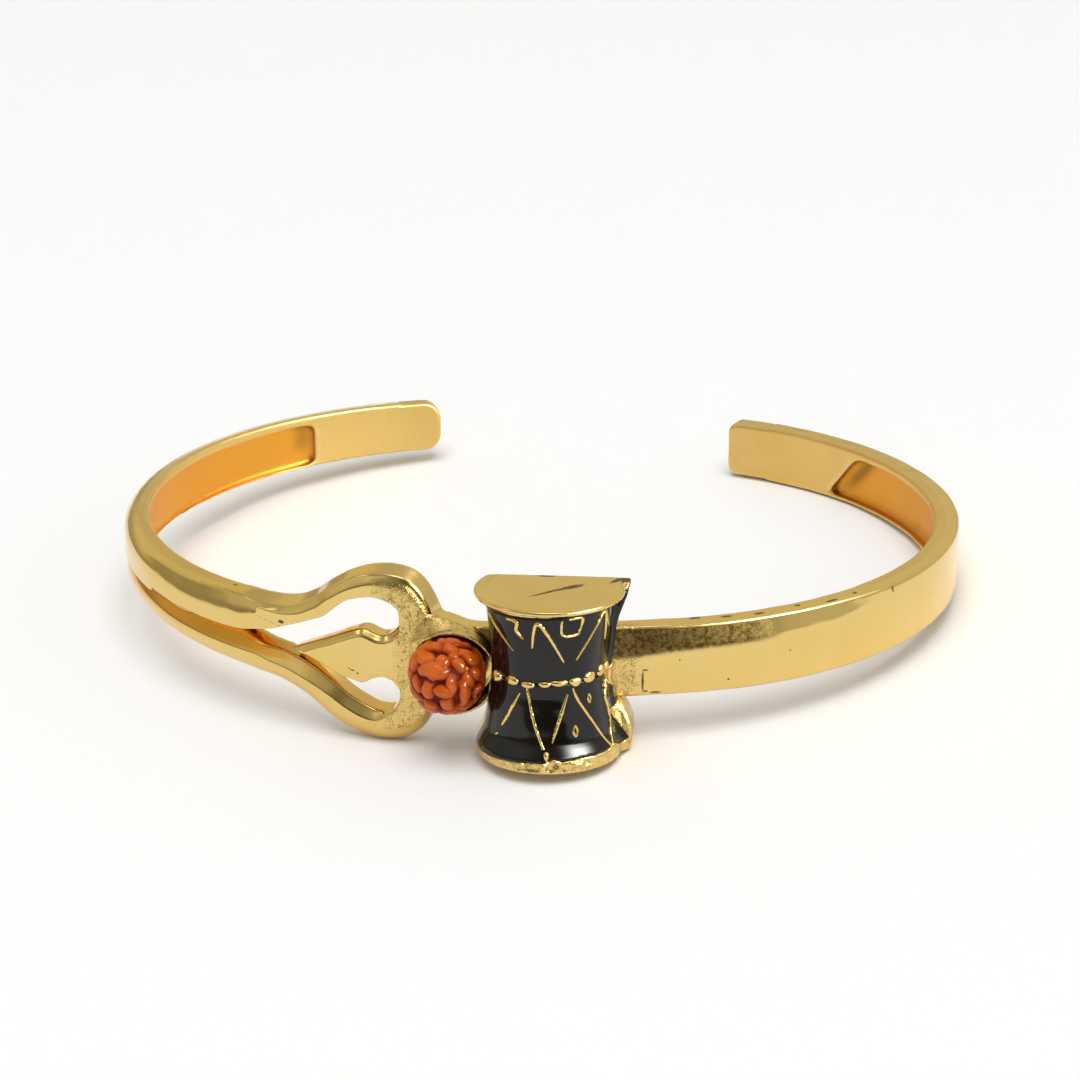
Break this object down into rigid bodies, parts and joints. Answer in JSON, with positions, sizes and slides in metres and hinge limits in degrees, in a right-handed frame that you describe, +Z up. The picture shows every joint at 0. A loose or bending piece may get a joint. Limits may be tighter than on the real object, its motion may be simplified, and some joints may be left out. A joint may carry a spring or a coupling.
{
  "type": "kada bangle",
  "caption": "Open cuff bangle cast in gold-tone brass, lying on its side, with a pierced trident head, a seed bead in a cup and a small drum with black enamel.",
  "frame": {"origin": "middle of the bounding box in plan, on the surface that the bangle lies on", "axes": "+X across the wrist opening to the right, +Y towards the open back, +Z up out of the side it lies on"},
  "size_m": [0.068, 0.0668, 0.0138],
  "materials": {
    "gold_plate": "polished gold plate over cast brass, with fine scratches and a few nicks",
    "enamel": "glossy black-brown enamel",
    "seed": "burnt-orange lacquered seed, glossy"
  },
  "bodies": {
    "root": {"cuff_casting": "gold_plate", "enamel_upper": "enamel", "enamel_lower": "enamel", "rudraksha_bead": "seed"}
  },
  "joints": []
}
